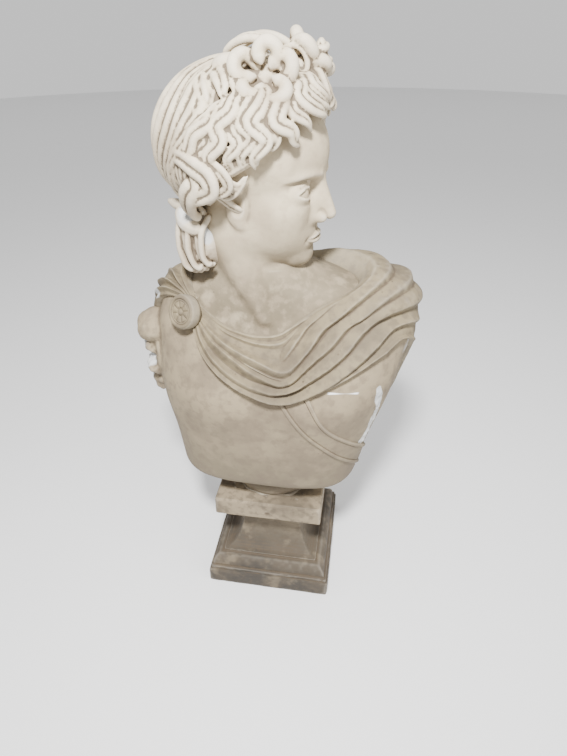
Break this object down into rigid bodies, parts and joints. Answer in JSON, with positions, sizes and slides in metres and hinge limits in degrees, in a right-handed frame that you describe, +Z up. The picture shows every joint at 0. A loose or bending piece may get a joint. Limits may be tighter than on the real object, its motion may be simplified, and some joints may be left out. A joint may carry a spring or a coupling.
{
  "type": "plaster bust",
  "caption": "Plaster bust of a cloaked youth with bound, curling hair and head turned left, set on a square moulded socle.",
  "frame": {"origin": "centre of the socle's underside", "axes": "+Z up; -Y is the side that the chest looks to; +X is the figure's left"},
  "size_m": [0.3816, 0.2365, 0.7804],
  "materials": {
    "bust_plaster": "matt aged cast plaster, warm cream to beige, dusty in the hollows, with whiter mends",
    "socle_plaster": "matt aged cast plaster, browner and dustier than the bust"
  },
  "bodies": {
    "root": {"bust": "bust_plaster", "socle": "socle_plaster"}
  },
  "joints": []
}
